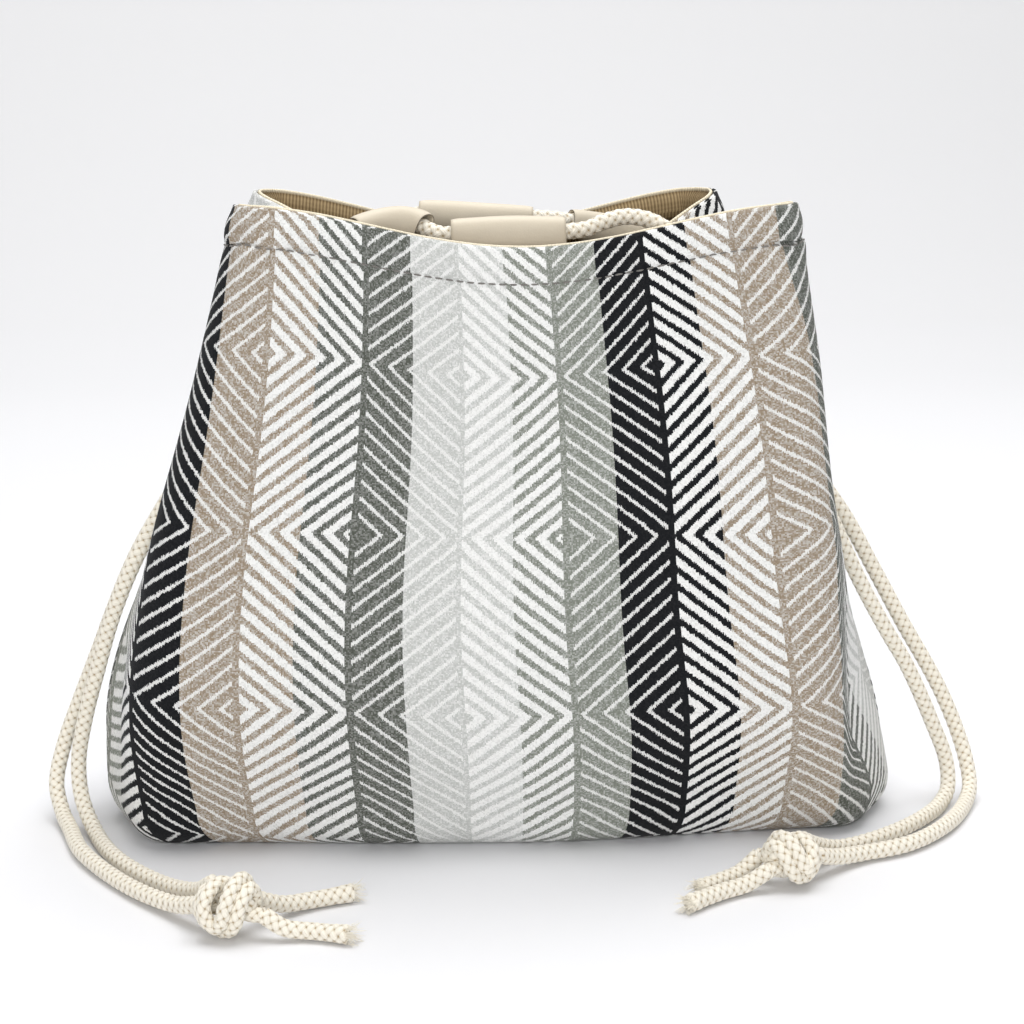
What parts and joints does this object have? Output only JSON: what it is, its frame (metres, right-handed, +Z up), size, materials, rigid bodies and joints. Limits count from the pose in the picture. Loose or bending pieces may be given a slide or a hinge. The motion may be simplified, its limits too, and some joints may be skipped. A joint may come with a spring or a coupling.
{
  "type": "drawstring bag",
  "caption": "Soft woven cloth bag with a flat base, drawcords in a casing round the folded-in mouth, knotted cord ends, and short cord handles with leather sleeves.",
  "frame": {"origin": "on the floor under the middle of the base", "axes": "+X to the right seen from the front, +Y to the back, +Z up"},
  "size_m": [0.3148, 0.1804, 0.206],
  "materials": {
    "striped_cloth": "jacquard weave, white against black, taupe and grey-green bands in nested diamonds",
    "lining_cloth": "ribbed cotton, cream",
    "cotton_cord": "braided cotton, natural",
    "sewing_thread": "polyester thread, grey",
    "leather": "smooth matte, greige"
  },
  "bodies": {
    "bag": {"front_panel": "striped_cloth", "front_lining": "lining_cloth", "front_drawcord": "cotton_cord", "front_casing_thread": "sewing_thread", "back_panel": "striped_cloth", "back_lining": "lining_cloth", "back_drawcord": "cotton_cord", "back_casing_thread": "sewing_thread", "base_panel": "striped_cloth", "base_lining": "lining_cloth", "left_front_strand": "cotton_cord", "left_rear_strand": "cotton_cord", "right_front_strand": "cotton_cord", "right_rear_strand": "cotton_cord", "front_left_handle_end": "cotton_cord", "front_right_handle_end": "cotton_cord", "rear_left_handle_end": "cotton_cord", "rear_right_handle_end": "cotton_cord", "front_left_tab": "leather", "front_right_tab": "leather", "rear_left_tab": "leather", "rear_right_tab": "leather"},
    "front_handle": {"front_handle_cord": "cotton_cord", "front_left_sleeve": "leather"},
    "front_grip": {"front_right_sleeve": "leather"},
    "rear_handle": {"rear_handle_cord": "cotton_cord", "rear_right_sleeve": "leather"},
    "rear_grip": {"rear_left_sleeve": "leather"},
    "left_pull": {"left_knot": "cotton_cord", "left_front_tail": "cotton_cord", "left_rear_tail": "cotton_cord"},
    "right_pull": {"right_knot": "cotton_cord", "right_front_tail": "cotton_cord", "right_rear_tail": "cotton_cord"}
  },
  "joints": [
    {"name": "front_handle_swing", "type": "hinge", "parent": "bag", "child": "front_handle", "pos_m": [0, -0.0303, 0.196], "axis": [1, 0, 0], "range_deg": [0, 75]},
    {"name": "rear_handle_swing", "type": "hinge", "parent": "bag", "child": "rear_handle", "pos_m": [0, 0.028, 0.19], "axis": [-1, 0, 0], "range_deg": [0, 75]},
    {"name": "front_sleeve_slide", "type": "slide", "parent": "front_handle", "child": "front_grip", "axis": [0.9995, -0.0028, 0.0319], "range_m": [0, 0.005]},
    {"name": "rear_sleeve_slide", "type": "slide", "parent": "rear_handle", "child": "rear_grip", "axis": [0.9982, -0.0521, -0.0297], "range_m": [0, 0.005]},
    {"name": "left_draw", "type": "slide", "parent": "bag", "child": "left_pull", "axis": [-0.8, -0.6, 0], "range_m": [0, 0.05], "deforming": ["left_front_strand", "left_rear_strand"]},
    {"name": "right_draw", "type": "slide", "parent": "bag", "child": "right_pull", "axis": [0.8, -0.6, 0], "range_m": [0, 0.05], "deforming": ["right_front_strand", "right_rear_strand"]}
  ]
}
